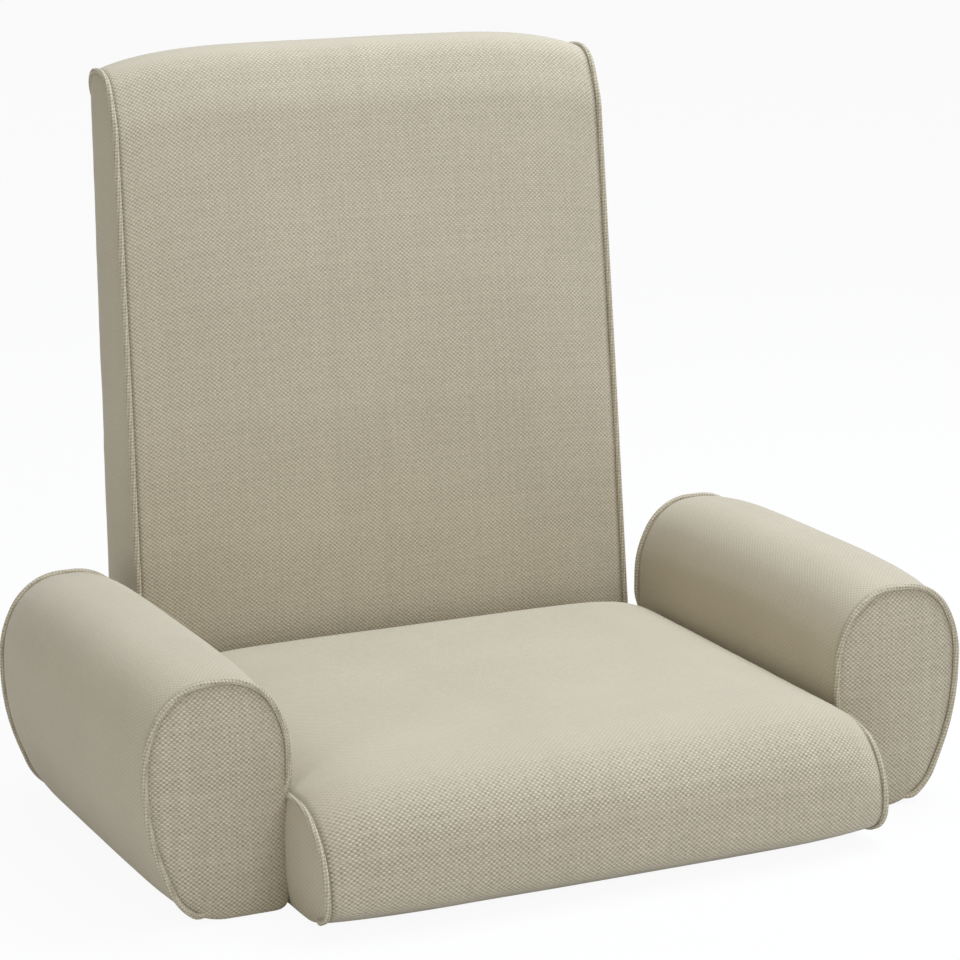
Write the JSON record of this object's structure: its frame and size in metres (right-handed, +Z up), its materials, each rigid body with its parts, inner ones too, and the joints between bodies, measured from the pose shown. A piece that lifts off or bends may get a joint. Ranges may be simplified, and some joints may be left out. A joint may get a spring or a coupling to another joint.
{
  "type": "floor chair",
  "caption": "Legless upholstered floor chair with a low padded seat, a tall padded back that reclines on ratchet hinges, and bolster arms, all with piped edges.",
  "frame": {"origin": "on the floor under the middle of the chair, on the underside of the seat's lining", "axes": "+X to the right seen from the front, +Y to the rear, +Z up"},
  "size_m": [0.741, 0.5501, 0.62],
  "materials": {
    "cover_fabric": "coarse basket weave upholstery cloth",
    "piping_fabric": "the cover cloth wrapped on the bias round a cord",
    "lining": "black non-woven lining",
    "foam": "open-cell cushion foam",
    "frame_tube": "satin black powder coat",
    "hinge_steel": "zinc plated",
    "spring_steel": "blued spring steel",
    "fastener": "bright zinc",
    "strap": "woven elastic webbing",
    "plywood": "raw plywood",
    "spacer_plastic": "moulded nylon"
  },
  "bodies": {
    "seat": {"seat_cover": "cover_fabric", "arm_cover_left": "cover_fabric", "arm_cover_right": "cover_fabric", "crease_gusset": "cover_fabric", "seat_piping_left": "piping_fabric", "seat_piping_right": "piping_fabric", "arm_front_piping_left": "piping_fabric", "arm_front_piping_right": "piping_fabric", "arm_rear_piping_left": "piping_fabric", "arm_rear_piping_right": "piping_fabric", "seat_base_cloth": "lining", "seat_top_foam": "foam", "seat_base_foam": "foam", "arm_foam_left": "foam", "arm_foam_right": "foam", "seat_frame": "frame_tube", "seat_cross_tubes": "frame_tube", "hinge_ratchet_left": "hinge_steel", "hinge_ratchet_right": "hinge_steel", "ratchet_rivets": "fastener", "arm_bolts": "fastener", "arm_washers": "fastener", "arm_tee_nuts": "fastener", "seat_straps": "strap", "arm_inner_board_left": "plywood", "arm_inner_board_right": "plywood", "arm_base_board_left": "plywood", "arm_base_board_right": "plywood", "arm_front_former_left": "plywood", "arm_front_former_right": "plywood", "arm_rear_former_left": "plywood", "arm_rear_former_right": "plywood", "arm_spacers": "spacer_plastic"},
    "back": {"back_cover": "cover_fabric", "back_piping_left": "piping_fabric", "back_piping_right": "piping_fabric", "back_front_foam": "foam", "back_rear_foam": "foam", "back_frame": "frame_tube", "back_cross_tube": "frame_tube", "back_straps": "strap", "hinge_case_left": "hinge_steel", "hinge_case_right": "hinge_steel", "pawl_spring_left": "spring_steel", "pawl_spring_right": "spring_steel", "hinge_pivots": "fastener", "pawl_pins": "fastener", "case_rivets": "fastener"},
    "left_pawl": {"pawl_left": "hinge_steel"},
    "right_pawl": {"pawl_right": "hinge_steel"}
  },
  "joints": [
    {"name": "back_recline", "type": "hinge", "parent": "seat", "child": "back", "pos_m": [0, 0.189, 0.045], "axis": [-1, 0, 0], "range_deg": [-12, 84], "deforming": ["crease_gusset"]},
    {"name": "left_pawl_drop", "type": "hinge", "parent": "back", "child": "left_pawl", "pos_m": [-0.196, 0.17375, 0.07141], "axis": [1, 0, 0], "range_deg": [-12, 0]},
    {"name": "right_pawl_drop", "type": "hinge", "parent": "back", "child": "right_pawl", "pos_m": [0.196, 0.17375, 0.07141], "axis": [1, 0, 0], "range_deg": [-12, 0]}
  ]
}
